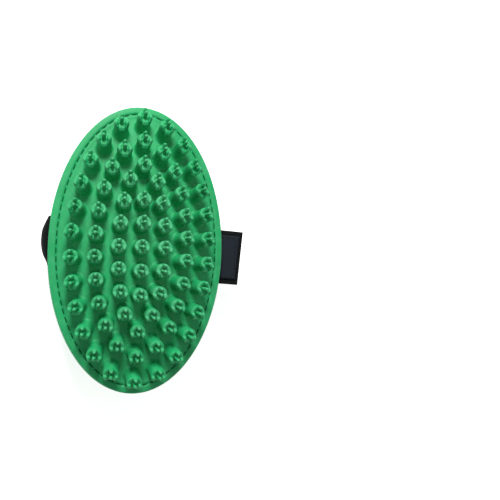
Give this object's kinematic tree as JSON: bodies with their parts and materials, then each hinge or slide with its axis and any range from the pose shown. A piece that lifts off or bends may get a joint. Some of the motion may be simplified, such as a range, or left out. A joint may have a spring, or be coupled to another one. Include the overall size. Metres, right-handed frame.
{
  "type": "rubber curry brush",
  "caption": "Palm grooming brush: an oval domed rubber face of crowned nubs, sewn to a padded back with a hook-and-loop hand strap.",
  "frame": {"origin": "under the middle of the oval pad, on the flat underside of the strap, which the brush lies on", "axes": "+Z out of the nub face, +Y along the oval's length, +X towards the free end of the strap"},
  "size_m": [0.1167, 0.16, 0.0536],
  "materials": {
    "green_rubber": "satin",
    "foam": "matte",
    "back_fabric": "matte",
    "green_thread": "matte",
    "webbing": "matte",
    "hook_tape": "matte",
    "loop_tape": "matte",
    "black_thread": "matte"
  },
  "bodies": {
    "pad": {"rubber_face": "green_rubber", "nubs_outer_ring": "green_rubber", "nubs_second_ring": "green_rubber", "nubs_inner_ring": "green_rubber", "nubs_centre_row": "green_rubber", "foam_core": "foam", "back_panel": "back_fabric", "rim_stitching": "green_thread", "strap_root": "webbing", "keeper_root": "webbing", "keeper_root_stitching": "black_thread"},
    "strap": {"hand_strap": "webbing"},
    "tail": {"strap_tail": "webbing", "hook_tape": "hook_tape", "hook_tape_stitching": "black_thread"},
    "keeper": {"keeper_flap": "webbing", "loop_tape": "loop_tape", "loop_tape_stitching": "black_thread"}
  },
  "joints": [
    {"name": "strap_fold", "type": "hinge", "parent": "pad", "child": "strap", "pos_m": [-0.05222, 0.00218, 0.026], "axis": [0.0332, 0.9995, 0], "range_deg": [0, 120]},
    {"name": "tail_peel", "type": "hinge", "parent": "strap", "child": "tail", "pos_m": [0.01721, -0.00012, 0.00075], "axis": [0.0332, 0.9995, 0], "range_deg": [0, 70]},
    {"name": "keeper_turn", "type": "hinge", "parent": "pad", "child": "keeper", "pos_m": [0.03149, -0.0006, 0.0255], "axis": [0.0332, 0.9995, 0], "range_deg": [0, 55]}
  ]
}
